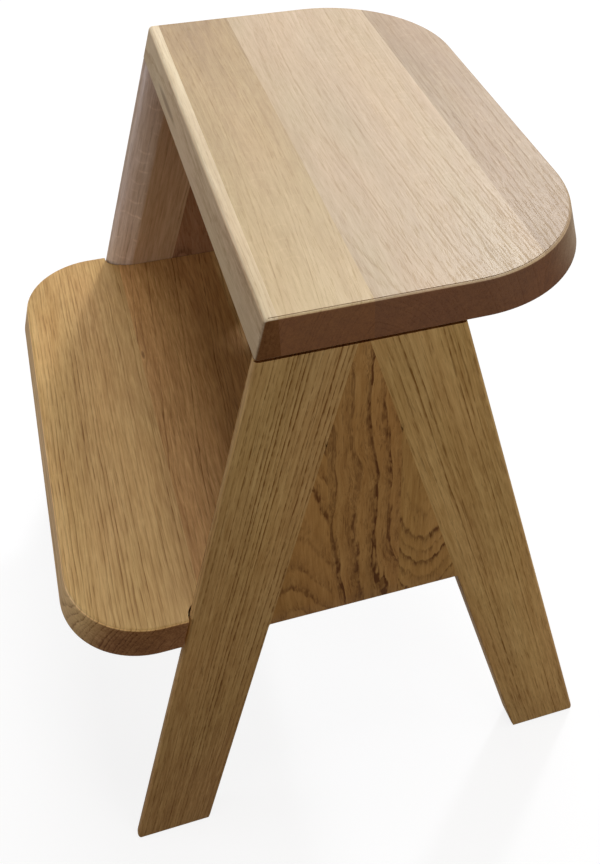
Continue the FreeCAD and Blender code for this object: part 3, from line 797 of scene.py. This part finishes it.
def seatRings(shape):
    thick = shape["top"] - shape["under"]
    rings = []
    for depth in edgeDepths(thick, shape["frontRound"], shape["underRound"], shape["quirk"]):
        share = depth / thick
        face = np.array(shape["topFace"]) * (1 - share) + np.array(shape["underFace"]) * share
        outline, ways = seatOutline(shape, *face)
        forward = np.clip(-ways[:, 1], 0, 1) ** 2
        upper = shape["endRound"] + (shape["frontRound"] - shape["endRound"]) * forward
        below = np.clip(depth - shape["quirk"] * (1 - forward), 0, None)
        reach = 1 + (shape["endReach"] - 1) * (1 - forward)
        inset = roundInset(below, upper) * reach + roundInset(thick - depth, shape["underRound"])
        outline = outline - inset[:, None] * ways
        rings.append(np.column_stack([outline, np.full(len(outline), shape["top"] - depth)]))
    return np.array(rings[::-1])


def cutStave(name, board, front, rear):
    # Keeps the part of the board between two depths and closes the cuts
    stave = bmesh.new()
    stave.from_mesh(board)
    for depth, way in ((front, 1), (rear, -1)):
        if depth is None:
            continue
        whole = stave.verts[:] + stave.edges[:] + stave.faces[:]
        cut = bmesh.ops.bisect_plane(stave, geom=whole, dist=meshCare["cut"], plane_co=(0, depth, 0),
                                     plane_no=(0, way, 0), clear_inner=True)
        opened = [part for part in cut["geom_cut"] if isinstance(part, bmesh.types.BMEdge)]
        bmesh.ops.edgenet_fill(stave, edges=opened)
    bmesh.ops.recalc_face_normals(stave, faces=stave.faces[:])
    mesh = bpy.data.meshes.new(name)
    stave.to_mesh(mesh)
    stave.free()
    return mesh


seatBoard = loftMesh("seatBoard", seatRings(seatShape))
staveEdges = [None, *seatShape["lines"], None]
for (node, look), front, rear in zip(seatLooks.items(), staveEdges, staveEdges[1:]):
    mesh = cutStave(node + "_shaped", seatBoard, front, rear)
    finishPiece(node + "_shaped", mesh, oakMaterial(node + ".oak", {**seatGrain, **look}))
bpy.data.meshes.remove(seatBoard)
print("seat staves cut")

# Step: three staves in warm honey, grain along the width
stepGrain = {"grain": (1, 0, 0), "face": (0, 0, 1), "end": (180, 155, 148), "gloss": 0.25, "rim": 1.0,
             "ragged": 0.0012, "poreWidth": 0.0005, "poreLength": 0.016, "lineWidth": 0.35, "fibre": 0.9}
stepLooks = {
    "step_front_stave": {
        "pith": (0, -0.03, 0.14), "ringWidth": 0.0022, "waviness": 0.002, "wavePitch": 6, "seed": 5.2,
        "lines": 0.55, "pores": 0.3, "flecks": 0.15, "toneChange": 0.7, "toneAndShadeAlong": 0.4, "toneAcross": 3.0,
        "late": (182, 142, 86), "early": (136, 95, 47), "pore": (118, 79, 38)},
    "step_middle_stave": {
        "pith": (-0.05, 0.02, 0.19), "ringWidth": 0.0030, "taper": 0.08, "waviness": 0.003, "wavePitch": 6,
        "seed": 9.9, "lines": 0.6, "pores": 0.34, "flecks": 0.15, "toneChange": 0.5,
        "knot": (-0.058, -0.1002, 0.239), "knotSize": 0.0017, "knotLength": 4.0,
        "late": (193, 147, 90), "early": (140, 95, 48), "pore": (112, 71, 34)},
    "step_rear_stave": {
        "pith": (0.02, 0.03, 0.17), "ringWidth": 0.0030, "taper": 0.05, "waviness": 0.003, "wavePitch": 6,
        "seed": 14.7, "lines": 0.55, "pores": 0.5, "flecks": 0.15, "toneChange": 0.4,
        "late": (200, 160, 102), "early": (150, 106, 55), "pore": (114, 75, 36)},
}

# The step's front stave: round front corners, and a notch at each end that follows the leg's inner round but
# is cut square past its nose, which leaves a dark wedge beside the rounded leg
stepShape = {
    "top": 0.239, "under": 0.215,
    "topFace": (0.1983, -0.18416),                # half width and front
    "underFace": (0.2009, -0.1913),
    "line": -0.10216,                             # where the next stave starts
    "corner": 0.058, "edgeRound": 0.0018, "edgeReach": 1.4, "underRound": 0.001,
    "gap": 0.0012,                                # between the notch and the leg
}


def stepOutline(shape, half, front, height):
    big = shape["corner"]
    profile, ways = joinRuns(innerRound(legShape))
    notch = onLeg(legShape, profile + shape["gap"] * ways, height)
    nose = notch[-1]
    depth = nose[1] + (shape["line"] - nose[1]) * np.linspace(0, 1, 16)
    inner = np.column_stack([np.interp(depth, notch[::-1, 1], notch[::-1, 0]), depth])
    corner, cornerWays = arc(half - big, front + big, big, -90, 0, 36)
    right = np.concatenate([corner, [(half, nose[1])], inner])
    rightWays = np.concatenate([cornerWays, [(1, 0)], np.zeros_like(inner)])
    flip = np.array([-1, 1])
    return np.concatenate([right, right[::-1] * flip]), np.concatenate([rightWays, rightWays[::-1] * flip])


def stepRings(shape):
    thick = shape["top"] - shape["under"]
    rings = []
    for depth in edgeDepths(thick, shape["edgeRound"], shape["underRound"]):
        share = depth / thick
        face = np.array(shape["topFace"]) * (1 - share) + np.array(shape["underFace"]) * share
        height = shape["top"] - depth
        outline, ways = stepOutline(shape, *face, height)
        inset = roundInset(depth, shape["edgeRound"]) * shape["edgeReach"]
        inset = inset + roundInset(thick - depth, shape["underRound"])
        outline = outline - inset * ways
        rings.append(np.column_stack([outline, np.full(len(outline), height)]))
    return np.array(rings[::-1])


for node, look in stepLooks.items():
    oak = oakMaterial(node + ".oak", {**stepGrain, **look})
    if node == "step_front_stave":
        addLoft(node + "_shaped", stepRings(stepShape), oak)
    else:
        dress(node, oak)
print("step staves finished")

# Hidden tenons and dowels, in plain beech
beechLook = {
    "grain": (0, 0, 1), "face": (1, 0, 0), "pith": (0, 0.4, 0), "ringWidth": 0.003, "waviness": 0.001,
    "wavePitch": 4, "seed": 1.5, "lines": 0.3, "pores": 0.15, "flecks": 0.7, "toneChange": 0.2, "gloss": 0.2,
    "poreWidth": 0.0004, "poreLength": 0.004, "fibre": 0.3,
    "late": (210, 172, 132), "early": (188, 146, 106), "pore": (150, 108, 74), "end": (200, 180, 165)}
beech = oakMaterial("joint_beech", beechLook)
for side in ("right", "left"):
    for joint in ("front_tenons", "rear_tenons", "seat_dowels", "step_dowels"):
        dress(f"{side}_{joint}", beech)
print("oak and beech laid on every node")

# Floor, lamps and world
studio = {
    "floorSize": 14.0, "floorDrop": 0.0004,    # just clear of the soles
    "floorBounce": (0.14, 0.10, 0.07, 1.0),    # what it throws back at the object
    "floorShade": 0.18,                        # how much of the shadow a look at the floor shows
    "floorWhite": 0.86,
    "fadeOut": (0.8, 3.6),                     # where the floor turns from that to white, in metres
    "glossWhite": 0.4,                         # share of the white in reflections
    "sky": (0.1, 0.08, 0.06, 1.0),
    "lamps": {
        "keyLamp": {"target": (0, 0, 0.3), "from": (-0.536, 0.411, 0.738), "distance": 2.2,
                    "size": (0.2, 0.2), "power": 20, "tint": (0.95, 0.98, 1.06)},
        "windowLamp": {"target": (0, 0, 0.4), "from": (-0.84, 0.32, 0.46), "distance": 2.4,
                       "size": (1.8, 1.2), "power": 12.5},
        "ceilingLamp": {"target": (0, 0, 0.3), "from": (-0.16, 0.1, 0.97), "distance": 2.2,
                        "size": (0.8, 1.6), "power": 21.5},
        "fillLamp": {"target": (0.1, 0, 0.35), "from": (0.9, 0.34, 0.27), "distance": 2.0,
                     "size": (0.6, 0.6), "power": 5.6},
        "rearLamp": {"target": (0.1, 0, 0.35), "from": (0.76, 0.58, 0.28), "distance": 2.0,
                     "size": (0.6, 0.8), "power": 4.6},
        "frontLamp": {"target": (-0.2, 0, 0.32), "from": (0.06, -0.99, 0.05), "distance": 1.2,
                      "size": (0.5, 0.5), "power": 3.7, "tint": (0.95, 0.98, 1.12)},
    },
}


def addFloor(look):
    half = look["floorSize"] / 2
    low = -look["floorDrop"]
    corners = [(-half, -half, low), (half, -half, low), (half, half, low), (-half, half, low)]
    mesh = bpy.data.meshes.new("floor")
    mesh.from_pydata(corners, [], [(0, 1, 2, 3)])
    floor = bpy.data.objects.new("floor", mesh)
    scene.collection.objects.link(floor)
    material = bpy.data.materials.new("paleFloor")
    material.use_nodes = True
    tree = material.node_tree
    tree.nodes.remove(tree.nodes["Principled BSDF"])
    path = addNode(tree, "ShaderNodeLightPath")
    seen = calc(tree, "MAXIMUM", path.outputs["Is Camera Ray"], path.outputs["Is Transmission Ray"])
    shade = (look["floorShade"],) * 3 + (1.0,)
    matt = addNode(tree, "ShaderNodeBsdfDiffuse")
    feed(tree, matt.inputs["Color"], mixColour(tree, seen, look["floorBounce"], shade))
    glow = calc(tree, "MULTIPLY_ADD", path.outputs["Is Glossy Ray"], look["glossWhite"], seen)
    place = addNode(tree, "ShaderNodeTexCoord")
    away = addNode(tree, "ShaderNodeVectorMath", operation="LENGTH")
    feed(tree, away.inputs[0], place.outputs["Object"])
    bright = ramp(tree, away.outputs["Value"], *look["fadeOut"], look["floorWhite"], 1.0)
    white = addNode(tree, "ShaderNodeEmission")
    white.inputs["Color"].default_value = (1.0, 1.0, 1.0, 1.0)
    feed(tree, white.inputs["Strength"], calc(tree, "MULTIPLY", glow, bright))
    both = addNode(tree, "ShaderNodeAddShader")
    feed(tree, both.inputs[0], matt.outputs[0])
    feed(tree, both.inputs[1], white.outputs[0])
    feed(tree, tree.nodes["Material Output"].inputs["Surface"], both.outputs[0])
    mesh.materials.append(material)


def addLamp(name, look):
    lamp = bpy.data.lights.new(name, "AREA")
    lamp.shape = "RECTANGLE"
    lamp.size, lamp.size_y = look["size"]
    lamp.energy = look["power"]
    lamp.color = look.get("tint", (1.0, 1.0, 1.0))
    holder = bpy.data.objects.new(name, lamp)
    outward = Vector(look["from"]).normalized()
    level = Vector((0, 1, 0)) if outward.z > 0.9 else Vector((0, 0, 1)).cross(outward).normalized()
    rise = outward.cross(level).normalized()
    turn = Matrix((rise.cross(outward), rise, outward)).transposed().to_4x4()
    place = Vector(look["target"]) + outward * look["distance"]
    holder.matrix_world = Matrix.Translation(place) @ turn
    scene.collection.objects.link(holder)


def setWorld(look):
    world = bpy.data.worlds.new("studioWorld")
    world.use_nodes = True
    tree = world.node_tree
    path = addNode(tree, "ShaderNodeLightPath")
    seen = calc(tree, "MAXIMUM", path.outputs["Is Camera Ray"], path.outputs["Is Transmission Ray"])
    shown = calc(tree, "MULTIPLY_ADD", path.outputs["Is Glossy Ray"], look["glossWhite"], seen)
    background = tree.nodes["Background"]
    feed(tree, background.inputs["Color"], mixColour(tree, shown, look["sky"], (1.0, 1.0, 1.0, 1.0)))
    scene.world = world


addFloor(studio)
for name, lamp in studio["lamps"].items():
    addLamp(name, lamp)
setWorld(studio)
print("floor, lamps and world set")
